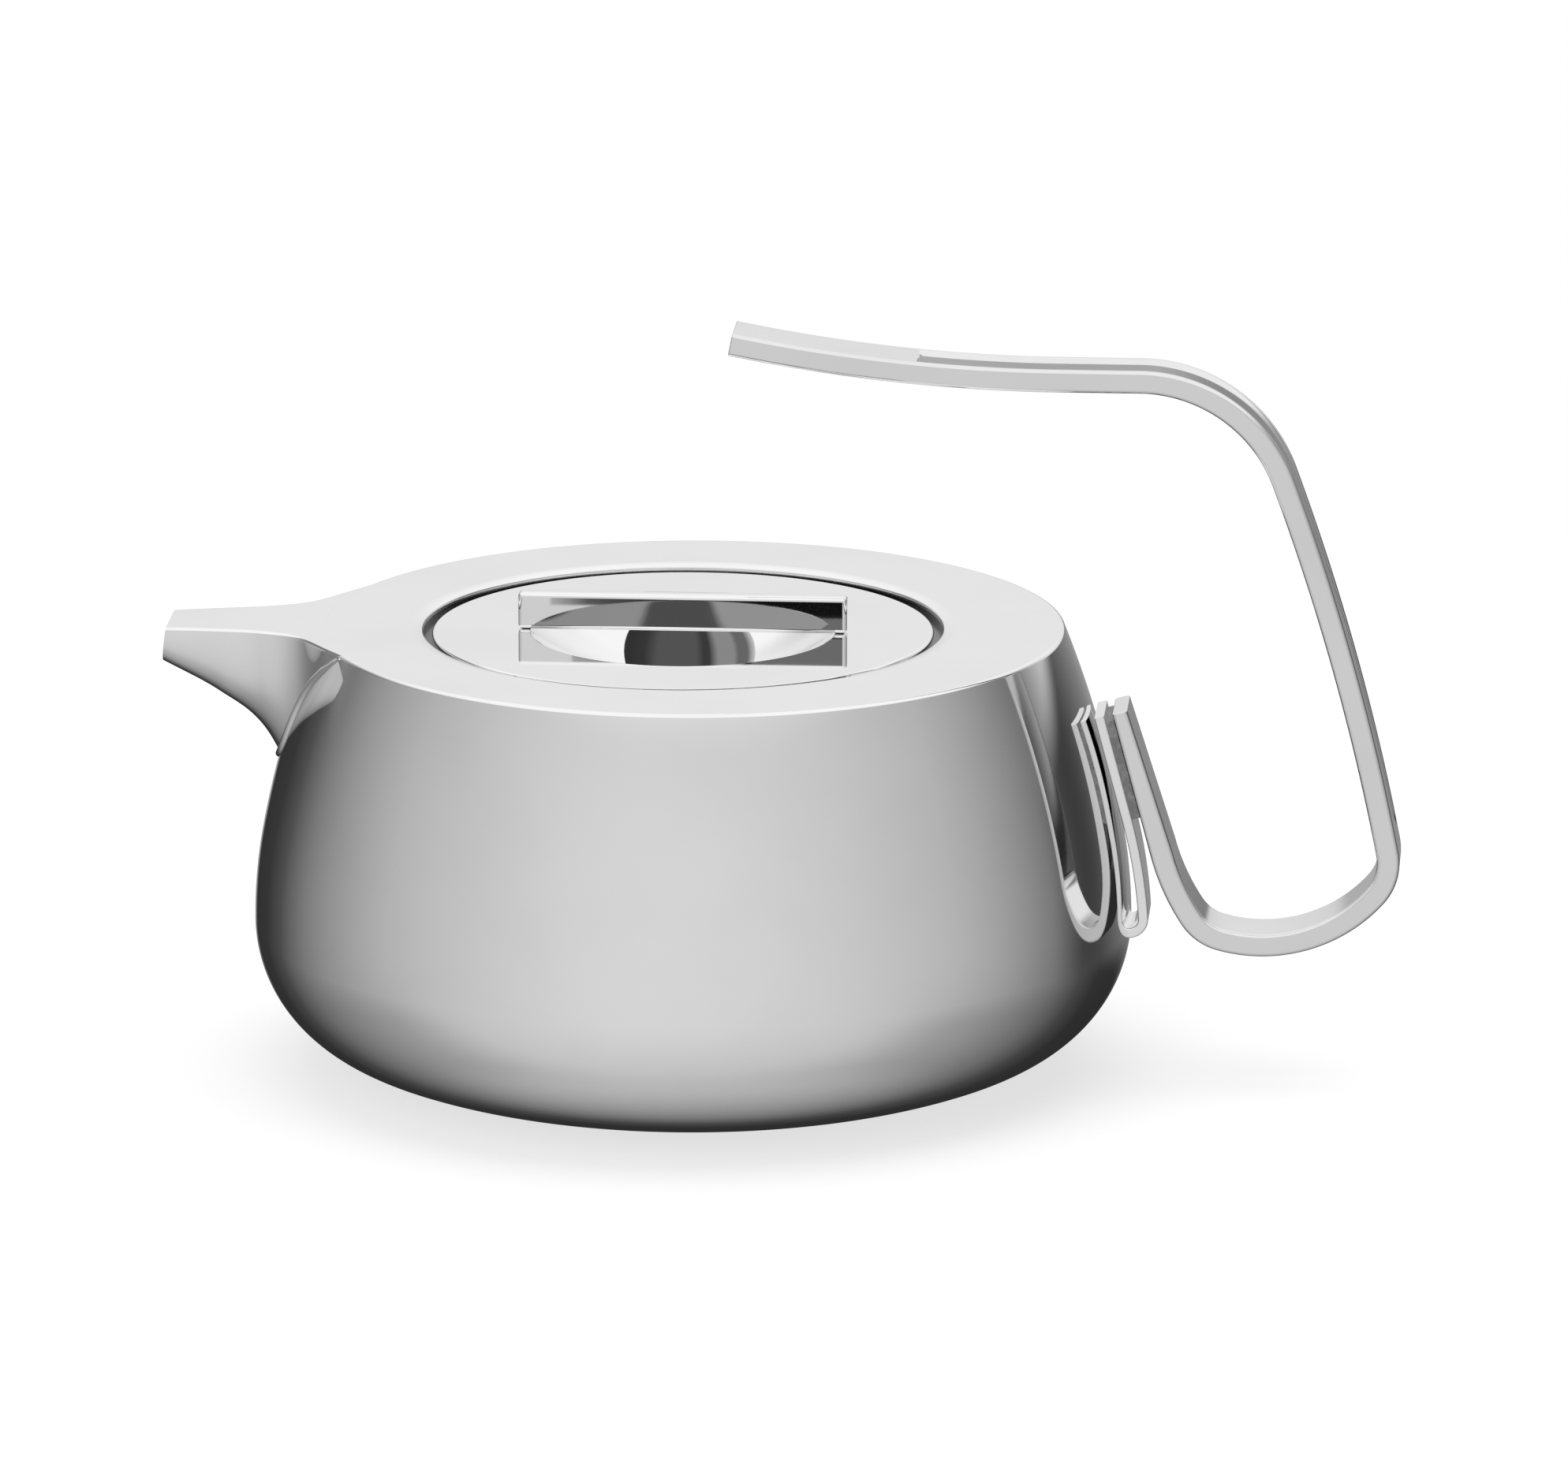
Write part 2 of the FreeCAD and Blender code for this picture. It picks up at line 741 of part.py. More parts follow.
os.makedirs("parts", exist_ok=True)
for piece in pieces:
    piece.Shape.exportStep(f"parts/{piece.Label}.step")
    box = piece.Shape.BoundBox
    print(f"{piece.Label}: {len(piece.Shape.Solids)} solid(s), {piece.Shape.Volume:.0f} mm3, "
          f"x {box.XMin:.1f} to {box.XMax:.1f}, z {box.ZMin:.1f} to {box.ZMax:.1f}")
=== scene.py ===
import math

import bmesh
import bpy
from mathutils import Matrix, Vector


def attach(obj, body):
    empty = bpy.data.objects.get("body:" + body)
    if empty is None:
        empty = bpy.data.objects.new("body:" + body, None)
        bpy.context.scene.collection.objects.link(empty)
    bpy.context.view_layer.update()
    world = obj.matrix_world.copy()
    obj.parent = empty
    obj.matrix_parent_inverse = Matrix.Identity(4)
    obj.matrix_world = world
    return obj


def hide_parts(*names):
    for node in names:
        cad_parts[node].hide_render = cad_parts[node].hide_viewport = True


# A polished silver teapot. Pieces are drawn in millimetres and made metres when they are finished.
# The spout points along -X and the handle along +X, and the pot stands on Z = 0.

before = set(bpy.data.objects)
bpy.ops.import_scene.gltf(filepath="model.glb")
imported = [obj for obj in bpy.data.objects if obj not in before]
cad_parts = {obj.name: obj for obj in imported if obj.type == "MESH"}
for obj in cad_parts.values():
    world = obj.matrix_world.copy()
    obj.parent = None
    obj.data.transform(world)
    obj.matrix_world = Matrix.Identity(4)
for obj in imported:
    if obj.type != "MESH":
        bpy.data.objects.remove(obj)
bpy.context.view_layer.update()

MM = 0.001
FULL_TURN = 2 * math.pi

# Body. Its profile is made of arcs, given as radius and degrees.
BODY_HEIGHT = 82.0
BELLY_RADIUS = 80.0
BASE_SWEEP = (62.0, 23.2)
BELLY_TURN = (25.0, 66.8)
SIDE_LOWER = (89.0, 11.1)
SIDE_UPPER_RADIUS = 208.0
WALL = 1.2
PLATE = 1.2
RIM_ROUND = 0.9
TURNED_STEPS = 256
CORE_SHRINK = 0.3
SWEEP_END = math.radians(BASE_SWEEP[1])
SIDE_LEAN = math.radians(SIDE_LOWER[1])
SIDE_STEP = SIDE_LOWER[0] - SIDE_UPPER_RADIUS
FLAT_RADIUS = (BELLY_RADIUS - BASE_SWEEP[0] * math.sin(SWEEP_END)
               - BELLY_TURN[0] * (1 - math.sin(SWEEP_END)))
BELLY_LEVEL = BASE_SWEEP[0] - (BASE_SWEEP[0] - BELLY_TURN[0]) * math.cos(SWEEP_END)
SIDE_CENTRE_X = BELLY_RADIUS - SIDE_LOWER[0] + SIDE_STEP * math.cos(SIDE_LEAN)
SIDE_CENTRE_Z = BELLY_LEVEL + SIDE_STEP * math.sin(SIDE_LEAN)

# Window behind the spout, as half width and level of its upper and lower edge
WINDOW = [(11.4, 78.0), (4.5, 59.8)]
WINDOW_REACH = (62.0, 79.0)

# Mouth and lid. The blade is given by its length, thickness and height.
MOUTH_RADIUS = 47.3
MOUTH_X = -1.8
LIP_ROLL = (9.0, 15.0)
LIP_EDGE = 0.5
LID_RADIUS = 45.6
LID_TOP = 81.1
LID_THICKNESS = 1.4
LID_ROUND = 0.6
DIMPLE_RADIUS = 27.8
DIMPLE_DEPTH = 10.0
DIMPLE_ROUND = 0.35
BOWL_WALL = 1.2
BLADE = (60.0, 3.4, 6.8)
BLADE_ROUND = 0.9

# Spout stations from the heel out: reach from the axis, half width, depth below the roof
SPOUT_STATIONS = [
    (55.98, 36.0, 56.0),
    (64.48, 23.3, 44.0),
    (70.78, 14.2, 34.0),
    (77.98, 10.4, 20.2),
    (85.98, 8.8, 13.5),
    (96.58, 7.4, 7.4),
]
SPOUT_FALL = 0.4
SPOUT_SLANT = 1.0
SPOUT_EDGE = 0.7
SPOUT_EDGE_INSIDE = 0.2
EDGE_TURN = math.radians(26.0)
KEEL_FULLNESS = 0.66
SPOUT_WALL = 1.0
SPOUT_RINGS = 72
SPOUT_SEGMENTS = 96
ROOF_SINK = 0.02

# Bead of solder between spout and body
SEAM_RADIUS = 0.7
SEAM_SEGMENTS = 12
SEAM_DROP = 0.55
SEAM_FADE = 2.4

# Handle. Bends and bows are given as radius and degrees.
STRAP_WIDTH = 12.5
STRAP_THICKNESS = 4.1
STRAP_TAPER = 1.3
STRAP_ROUND = 0.8
JOINT_LEAN = 15.0
JOINT_DROP = 24.4
JOINT_LENGTH = 20.0
JOINT_TAIL = 7.7
LOOP_BENDS = [(41.3, 18.3), (9.2, 41.5), (27.7, 64.2), (9.5, 52.2)]
LEG_BOW = (446.0, 9.2)
TOP_BEND_RADIUS = 27.8
GRIP_LENGTH = 14.5
GRIP_BOW = (306.0, 11.2)
GROOVE_WIDTH = 4.0
GROOVE_DEPTH = 1.0
GROOVE_FLOOR = 0.55
GROOVE_OVERRUN = 26.0
SPACER_THICKNESS = 1.5
BRACKET_THICKNESS = 1.8
BRACKET_ROUND = 0.35
BRACKET_GAP = 0.5
BRACKET_BOW = (95.0, 11.2)
BRACKET_CURL = (2.6, 90.0)
BRACKET_FOOT = 2.5

# Lens, as angles round and above the pot, and in metres its distance and the place that it aims at
AZIMUTH = math.radians(4.0)
ELEVATION = math.radians(14.063)
DISTANCE = 2.5
AIM_RIGHT = 0.01655
AIM_UP = 0.06064
FOCAL_LENGTH = 313.29

# Tent: its radius in metres, its brightest side, and its brightness from the far side to that one
TENT_RADIUS = 2.5
BRIGHT_SIDE = math.radians(-3.0)
CLOTH = [
    (0.0, 0.03), (0.12, 0.04), (0.19, 0.08), (0.25, 0.15), (0.3, 0.21), (0.4, 0.31),
    (0.5, 0.4), (0.6, 0.48), (0.8, 0.59), (0.9, 0.65), (1.0, 0.72),
]


class Pen:
    """Draws in the plane Y = 0. Its tip, a vertex or the loop of a section, is pulled along runs and bends.

    Headings are in degrees from +X towards +Z, and a positive bend turns left.
    """

    def __init__(self, bm, x, z, heading, tip):
        self.bm = bm
        self.x = x
        self.z = z
        self.heading = heading
        self.tip = tip

    def ahead(self, turn=0.0):
        angle = math.radians(self.heading + turn)
        return Vector((math.cos(angle), 0, math.sin(angle)))

    def run(self, length):
        step = self.ahead() * length
        grown = bmesh.ops.extrude_face_region(self.bm, geom=self.tip)["geom"]
        self.tip = tip_of(grown)
        bmesh.ops.translate(self.bm, verts=tip_verts(self.tip), vec=step)
        self.x += step.x
        self.z += step.z
        return self

    def bend(self, radius, angle, steps):
        side = 1 if angle > 0 else -1
        centre = Vector((self.x, 0, self.z)) + self.ahead(90 * side) * radius
        turned = bmesh.ops.spin(self.bm, geom=self.tip, cent=centre, axis=(0, -1, 0),
                                angle=math.radians(angle), steps=steps)
        self.tip = tip_of(turned["geom_last"])
        self.heading += angle
        end = centre + self.ahead(-90 * side) * radius
        self.x, self.z = end.x, end.z
        return self


def tip_of(geom):
    return [item for item in geom if not isinstance(item, bmesh.types.BMFace)]


def tip_verts(geom):
    return [item for item in geom if isinstance(item, bmesh.types.BMVert)]


def pen_at(bm, x, z, heading):
    """A pen whose tip is a single new vertex."""
    return Pen(bm, x, z, heading, [bm.verts.new((x, 0, z))])


def turn_round(bm, x=0.0):
    """Spin the drawn profile a full turn about an upright axis at x."""
    bmesh.ops.spin(bm, geom=bm.verts[:] + bm.edges[:], cent=(x, 0, 0), axis=(0, 0, 1),
                   angle=FULL_TURN, steps=TURNED_STEPS, use_merge=True)
    close_up(bm)


def close_up(bm):
    bmesh.ops.remove_doubles(bm, verts=bm.verts[:], dist=0.001)
    bmesh.ops.recalc_face_normals(bm, faces=bm.faces[:])


def new_object(bm, name):
    """Make metres of millimetres and put the mesh in the scene."""
    bmesh.ops.scale(bm, vec=(MM, MM, MM), verts=bm.verts[:])
    mesh = bpy.data.meshes.new(name)
    bm.to_mesh(mesh)
    bm.free()
    obj = bpy.data.objects.new(name, mesh)
    bpy.context.scene.collection.objects.link(obj)
    return obj


def settle(obj):
    """Replace the object's mesh by what its modifiers make of it."""
    bpy.context.view_layer.update()
    view = bpy.context.evaluated_depsgraph_get()
    made = bpy.data.meshes.new_from_object(obj.evaluated_get(view))
    obj.modifiers.clear()
    obj.data = made


def cut_away(obj, cutter):
    cut = obj.modifiers.new("cut", "BOOLEAN")
    cut.operation = "DIFFERENCE"
    cut.solver = "EXACT"
    cut.object = cutter
    settle(obj)


def soften(obj, width, segments=3, angle=35):
    """Round the sharp edges a little and keep the faces between them flat."""
    round_off = obj.modifiers.new("edges", "BEVEL")
    round_off.width = width * MM
    round_off.segments = segments
    round_off.limit_method = "ANGLE"
    round_off.angle_limit = math.radians(angle)
    round_off.harden_normals = True


def flatten(obj):
    """Let the large faces set the shading, so that flat ones look flat up to their rounded edges."""
    weigh = obj.modifiers.new("flat_faces", "WEIGHTED_NORMAL")
    weigh.keep_sharp = True


def smooth(obj, angle=40):
    obj.data.polygons.foreach_set("use_smooth", [True] * len(obj.data.polygons))
    obj.data.set_sharp_from_angle(angle=math.radians(angle))


def place(obj, body, material, *nodes):
    """Let a piece ride on a body, instead of the nodes that it covers."""
    obj.data.materials.clear()
    obj.data.materials.append(material)
    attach(obj, body)
    if nodes:
        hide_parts(*nodes)
    return obj


class Shade:
    """A socket of a node tree that takes part in sums."""

    def __init__(self, tree, socket):
        self.tree = tree
        self.socket = socket

    def math(self, operation, other, swap=False):
        first, second = (other, self) if swap else (self, other)
        return make_node(self.tree, "ShaderNodeMath", {"operation": operation}, {0: first, 1: second})

    def __add__(self, other):
        return self.math("ADD", other)

    def __radd__(self, other):
        return self.math("ADD", other, True)

    def __sub__(self, other):
        return self.math("SUBTRACT", other)

    def __rsub__(self, other):
        return self.math("SUBTRACT", other, True)

    def __mul__(self, other):
        return self.math("MULTIPLY", other)

    def __rmul__(self, other):
        return self.math("MULTIPLY", other, True)

    def between(self, low, high):
        """0 below low, 1 above high, and smooth in between."""
        return make_node(self.tree, "ShaderNodeMapRange", {"interpolation_type": "SMOOTHSTEP"},
                         {"Value": self, "From Min": low, "From Max": high})


def make_node(tree, kind, settings=None, inputs=None, output=0):
    """Add a node, set it up, feed its sockets with values or shades, and give one output as a shade."""
    node = tree.nodes.new(kind)
    for key, value in (settings or {}).items():
        if key == "stops":
            stops = node.color_ramp.elements
            while len(stops) < len(value):
                stops.new(0.5)
            for stop, (position, colour) in zip(stops, value):
                stop.position = position
                stop.color = colour
        else:
            setattr(node, key, value)
    for key, value in (inputs or {}).items():
        if isinstance(value, Shade):
            tree.links.new(value.socket, node.inputs[key])
        else:
            node.inputs[key].default_value = value
    return Shade(tree, node.outputs[output]) if node.outputs else None


def new_material(name):
    material = bpy.data.materials.new(name)
    material.use_nodes = True
    material.node_tree.nodes.clear()
    return material, material.node_tree


def output_surface(tree, shade):
    make_node(tree, "ShaderNodeOutputMaterial", {}, {"Surface": shade})


def grey(value):
    return (value, value, value, 1)


def mix_colours(tree, factor, first, second):
    return make_node(tree, "ShaderNodeMix", {"data_type": "RGBA"}, {0: factor, 6: first, 7: second}, output=2)


def polished_silver(name, roughness, tone):
    """Silver with cloudy polish, hairline wipe marks and a trace of waviness from the hammer."""
    material, tree = new_material(name)
    where = make_node(tree, "ShaderNodeTexCoord", output="Object")
    cloud = make_node(tree, "ShaderNodeTexNoise", {}, {"Vector": where, "Scale": 38.0, "Detail": 3.0})
    strokes = make_node(tree, "ShaderNodeMapping", {}, {"Vector": where, "Scale": (260.0, 260.0, 2600.0)})
    hairlines = make_node(tree, "ShaderNodeTexNoise", {}, {"Vector": strokes, "Scale": 1.0, "Detail": 2.0})
    clouded = cloud.between(0.35, 0.75)
    rough = roughness * (0.75 + clouded * 0.5) + hairlines.between(0.6, 0.8) * 0.012
    colour = mix_colours(tree, clouded, grey(tone), grey(tone * 0.965))
    waves = make_node(tree, "ShaderNodeTexNoise", {}, {"Vector": where, "Scale": 22.0, "Detail": 0.0})
    bump = make_node(tree, "ShaderNodeBump", {}, {"Height": waves, "Strength": 0.25, "Distance": 0.00004})
    shader = make_node(tree, "ShaderNodeBsdfPrincipled", {}, {
        "Base Color": colour, "Metallic": 1.0, "Roughness": rough, "Normal": bump})
    output_surface(tree, shader)
    return material


def grey_insulator():
    """The dull block that keeps the body's heat from the handle."""
    material, tree = new_material("grey_insulator")
    where = make_node(tree, "ShaderNodeTexCoord", output="Object")
    grain = make_node(tree, "ShaderNodeTexNoise", {}, {"Vector": where, "Scale": 900.0, "Detail": 4.0})
    specks = grain.between(0.4, 0.7)
    colour = mix_colours(tree, specks, (0.16, 0.16, 0.165, 1), (0.23, 0.23, 0.235, 1))
    bump = make_node(tree, "ShaderNodeBump", {}, {"Height": grain, "Strength": 0.4, "Distance": 0.0001})
    shader = make_node(tree, "ShaderNodeBsdfPrincipled", {}, {
        "Base Color": colour, "Roughness": 0.5 + specks * 0.15, "Normal": bump})
    output_surface(tree, shader)
    return material


silver = polished_silver("polished_silver", 0.04, 0.93)
handle_silver = polished_silver("handle_silver", 0.09, 0.83)
inner_silver = polished_silver("inner_silver", 0.22, 0.86)
# A near-black silver for the lid's seat ring: painted shade, so the gap round the lid reads dark.
painted_shade_silver = polished_silver("painted_shade_silver", 0.3, 0.12)
insulator = grey_insulator()


def side_radius(level):
    """Outer radius of the body's upper side at a level."""
    return SIDE_CENTRE_X + math.sqrt(SIDE_UPPER_RADIUS ** 2 - (level - SIDE_CENTRE_Z) ** 2)


def draw_wall(pen, offset, top_angle):
    """The body's profile at an inward offset, from the axis up to where the side leans by top_angle."""
    pen.run(FLAT_RADIUS)
    pen.bend(BASE_SWEEP[0] - offset, BASE_SWEEP[1], 16)
    pen.bend(BELLY_TURN[0] - offset, BELLY_TURN[1], 32)
    pen.bend(SIDE_LOWER[0] - offset, SIDE_LOWER[1], 10)
    pen.bend(SIDE_UPPER_RADIUS - offset, top_angle - SIDE_LOWER[1], 24)
    return pen


def lean_at(level, radius):
    """Lean in degrees of an arc about the upper side's centre at a level."""
    return math.degrees(math.asin((level - SIDE_CENTRE_Z) / radius))


def join(bm, first, second):
    """An edge between the tips of two pens."""
    bm.edges.new((tip_verts(first.tip)[0], tip_verts(second.tip)[0]))


def make_pot_body():
    """Body wall and shoulder as one spun shell, with a soft rim and an off-centre mouth."""
    bm = bmesh.new()
    round_level = BODY_HEIGHT - RIM_ROUND
    rim_lean = lean_at(round_level, SIDE_UPPER_RADIUS - RIM_ROUND)
    outside = draw_wall(pen_at(bm, 0, 0, 0), 0, rim_lean)
    outside.bend(RIM_ROUND, 90 - rim_lean, 8)
    roll, roll_angle = LIP_ROLL
    swing = math.radians(roll_angle)
    lip = MOUTH_RADIUS + roll * math.sin(swing) + LIP_EDGE * (1 - math.sin(swing))
    outside.run(outside.x - lip)
    outside.bend(roll, roll_angle, 10)
    outside.bend(LIP_EDGE, 90 - roll_angle, 5)
    under = BODY_HEIGHT - PLATE
    outside.run(outside.z - under)
    inside = draw_wall(pen_at(bm, 0, WALL, 0), WALL, lean_at(under, SIDE_UPPER_RADIUS - WALL))
    join(bm, outside, inside)
    turn_round(bm)
    ring = [v for v in bm.verts if v.co.z > under - 0.01 and v.co.xy.length < lip + 0.01]
    bmesh.ops.translate(bm, verts=ring, vec=(MOUTH_X, 0, 0))
    return new_object(bm, "pot_body")


def window_block():
    """A block the shape of the window, long enough to pass through the body's wall."""
    bm = bmesh.new()
    near, far = WINDOW_REACH
    (upper_half, upper), (lower_half, lower) = WINDOW
    corners = [(upper_half, upper), (-upper_half, upper), (-lower_half, lower), (lower_half, lower)]
    face = bmesh.ops.contextual_create(bm, geom=[bm.verts.new((-near, y, z)) for y, z in corners])["faces"]
    grown = bmesh.ops.extrude_face_region(bm, geom=face)["geom"]
    bmesh.ops.translate(bm, verts=tip_verts(grown), vec=(near - far, 0, 0))
    close_up(bm)
    return new_object(bm, "window_block")


def line_inside(obj, material):
    """Give the faces that look towards the middle of the pot another finish."""
    obj.data.materials.append(material)
    middle = Vector((0, 0, BODY_HEIGHT / 2 * MM))
    for face in obj.data.polygons:
        if face.normal.dot(middle - face.center) > 0:
            face.material_index = 1


def body_core(shrink):
    """A solid that fills the body up to just under the roof of the spout."""
    bm = bmesh.new()
    level = BODY_HEIGHT - shrink
    core = draw_wall(pen_at(bm, 0, shrink, 0), shrink, lean_at(level, SIDE_UPPER_RADIUS - shrink))
    axis_end = pen_at(bm, 0, level, 0)
    join(bm, core, axis_end)
    turn_round(bm)
    return new_object(bm, "body_core")


def at_reach(reach):
    """Half width and depth of the spout by smooth curves through its stations."""
    stations = SPOUT_STATIONS
    last = len(stations) - 2
    index = max(i for i in range(last + 1) if stations[i][0] <= reach or i == 0)
    before, start, stop = stations[max(index - 1, 0)], stations[index], stations[index + 1]
    after = stations[min(index + 2, last + 1)]
    span = stop[0] - start[0]
    t = (reach - start[0]) / span
    values = []
    for k in (1, 2):
        slope_start = (stop[k] - before[k]) / (stop[0] - before[0])
        slope_stop = (after[k] - start[k]) / (after[0] - start[0])
        values.append((2 * t ** 3 - 3 * t ** 2 + 1) * start[k] + (t ** 3 - 2 * t ** 2 + t) * span * slope_start
                      + (3 * t ** 2 - 2 * t ** 3) * stop[k] + (t ** 3 - t ** 2) * span * slope_stop)
    return values


def spout_ring(bm, reach, half_width, top, keel, slant, edge):
    """A loop with a flat top, rounded top edges and a full keel, slanted back at its top where a slant is given."""
    ring = bmesh.ops.create_circle(bm, segments=SPOUT_SEGMENTS, radius=1,
                                   matrix=Matrix.Rotation(math.pi / 2, 4, "Y"))["verts"]
    for vert in ring:
        turn = math.atan2(vert.co.z, abs(vert.co.y))
        if turn < -1e-6:
            t = -turn * 2 / math.pi
            side = half_width * ((1 - t) ** 3 + 3 * t * (1 - t) ** 2 + 3 * t ** 2 * (1 - t) * KEEL_FULLNESS)
            sunk = edge + (top - edge - keel) * (
                3 * t * (1 - t) ** 2 * KEEL_FULLNESS + 3 * t ** 2 * (1 - t) + t ** 3)
        else:
            swing = min(turn / EDGE_TURN, 1) * math.pi / 2
            side = edge * math.cos(swing) + (half_width - edge) * min(math.cos(turn) / math.cos(EDGE_TURN), 1)
            sunk = edge * (1 - math.sin(swing))
        vert.co = (-reach + slant * (1 - sunk / (top - keel)), math.copysign(side, vert.co.y), top - sunk)
    return list({edge for vert in ring for edge in vert.link_edges})


def spout_reaches():
    first, last = SPOUT_STATIONS[0][0], SPOUT_STATIONS[-1][0]
    return [first + (last - first) * step / SPOUT_RINGS for step in range(SPOUT_RINGS + 1)]


def spout_rings(bm, wall, reaches):
    """Loops of the spout's outside, or of its inside where a wall is given."""
    fall_from, last = SPOUT_STATIONS[2][0], SPOUT_STATIONS[-1][0]
    rings = []
    for reach in reaches:
        half_width, depth = at_reach(reach)
        fallen = max(0, reach - fall_from) / (last - fall_from)
        level = BODY_HEIGHT - ROOF_SINK - SPOUT_FALL * fallen ** 2
        top = level - (PLATE if wall else 0)
        slant = SPOUT_SLANT * fallen ** 3
        edge = SPOUT_EDGE_INSIDE if wall else SPOUT_EDGE
        rings.append(spout_ring(bm, reach, half_width - wall, top, level - depth + wall, slant, edge))
    return rings


def make_spout(core):
    bm = bmesh.new()
    reaches = spout_reaches()
    rings = spout_rings(bm, 0, reaches) + spout_rings(bm, SPOUT_WALL, reaches[::-1])
    for ring, following in zip(rings, rings[1:] + rings[:1]):
        bmesh.ops.bridge_loops(bm, edges=ring + following)
    close_up(bm)
    spout = new_object(bm, "spout")
    cut_away(spout, core)
    return spout


def seam_points(core):
    """Where the spout meets the body's wall, from one edge of its roof round the keel to the other."""
    bm = bmesh.new()
    spout_rings(bm, 0, spout_reaches()[::-1])
    places = [vert.co * MM for vert in bm.verts]
    columns = [places[k::SPOUT_SEGMENTS] for k in range(SPOUT_SEGMENTS)]
    bm.free()
    points = []
    for column in sorted(columns, key=lambda column: column[0].y):
        for start, stop in zip(column, column[1:]):
            met, point, normal, _ = core.ray_cast(start, stop - start, distance=(stop - start).length)
            if met:
                points.append(point / MM + normal * CORE_SHRINK)
                break
    return [point for point in points if point.z < BODY_HEIGHT - SEAM_DROP]


def make_seam(core):
    """A bead of solder along the joint of spout and body, thin where it runs out under the roof."""
    bm = bmesh.new()
    points = seam_points(core)
    rings = []
    for before, point, after in zip(points[:1] + points, points, points[1:] + points[-1:]):
        turn = (after - before).to_track_quat("Z", "Y").to_matrix().to_4x4()
        radius = SEAM_RADIUS * min(1, (BODY_HEIGHT - point.z) / SEAM_FADE)
        ring = bmesh.ops.create_circle(bm, segments=SEAM_SEGMENTS, radius=radius,
                                       matrix=Matrix.Translation(point) @ turn)["verts"]
        rings.append(list({edge for vert in ring for edge in vert.link_edges}))
    for ring, following in zip(rings, rings[1:]):
        bmesh.ops.bridge_loops(bm, edges=ring + following)
    for ring in (rings[0], rings[-1]):
        bmesh.ops.edgeloop_fill(bm, edges=ring)
    close_up(bm)
    return new_object(bm, "spout_seam")


def make_lid():
    """Disc and dimple as one spun piece."""
    bm = bmesh.new()
    ball = (DIMPLE_RADIUS ** 2 + DIMPLE_DEPTH ** 2) / (2 * DIMPLE_DEPTH)
    slope = math.degrees(math.asin(DIMPLE_RADIUS / ball))
    under = LID_TOP - LID_THICKNESS
    top = pen_at(bm, MOUTH_X, LID_TOP - DIMPLE_DEPTH, 0)
    trim = DIMPLE_ROUND * math.tan(math.radians(slope / 2))
    top.bend(ball, slope - math.degrees(trim / ball), 24)
    top.bend(DIMPLE_ROUND, -top.heading, 5)
    top.run(LID_RADIUS - LID_ROUND - (top.x - MOUTH_X))
    top.bend(LID_ROUND, -90, 6)
    top.run(top.z - under)
    below = pen_at(bm, MOUTH_X, LID_TOP - DIMPLE_DEPTH - BOWL_WALL, 0)
    outer = ball + BOWL_WALL
    centre_z = LID_TOP - DIMPLE_DEPTH + ball
    below.bend(outer, math.degrees(math.acos((centre_z - under) / outer)), 16)
    join(bm, top, below)
    turn_round(bm, MOUTH_X)
    return new_object(bm, "lid_top")


def make_blade():
    bm = bmesh.new()
    bmesh.ops.create_cube(bm, size=1)
    bmesh.ops.scale(bm, vec=BLADE, verts=bm.verts[:])
    bmesh.ops.translate(bm, vec=(MOUTH_X, 0, LID_TOP + BLADE[2] / 2), verts=bm.verts[:])
    bmesh.ops.bevel(bm, geom=bm.edges[:], offset=BLADE_ROUND, offset_type="OFFSET", affect="EDGES",
                    segments=5, profile=0.5, material=-1)
    return new_object(bm, "lid_grip")


def joint_point(depth, height):
    """A place in the joint: depth out from the bracket's inner face, height along it from the middle."""
    level = BODY_HEIGHT - JOINT_DROP
    lean = math.radians(JOINT_LEAN)
    base = side_radius(level) + BRACKET_GAP
    return (base + depth * math.cos(lean) - height * math.sin(lean),
            level + depth * math.sin(lean) + height * math.cos(lean))


def section_pen(bm, x, z, heading, across, left, right, edge_round):
    """A pen whose tip is a flat section with rounded corners.

    Across gives the stops over its width, left and right the places of its two faces.
    """
    pen = Pen(bm, x, z, heading, [])
    side = pen.ahead(90)
    middle = Vector((x, 0, z))
    corners = [middle + side * right + Vector((0, y, 0)) for y in across]
    corners += [middle + side * left + Vector((0, y, 0)) for y in (across[-1], across[0])]
    verts = [bm.verts.new(corner) for corner in corners]
    for a, b in zip(verts, verts[1:] + verts[:1]):
        bm.edges.new((a, b))
    bends = [verts[0], verts[len(across) - 1], verts[-2], verts[-1]]
    bmesh.ops.bevel(bm, geom=bends, offset=edge_round, offset_type="OFFSET", affect="VERTICES",
                    segments=5, profile=0.5, material=-1)
    pen.tip = bm.verts[:] + bm.edges[:]
    return pen


def close_end(bm, pen):
    """A flat face over the section at the pen's tip."""
    bmesh.ops.contextual_create(bm, geom=[item for item in pen.tip if isinstance(item, bmesh.types.BMEdge)])


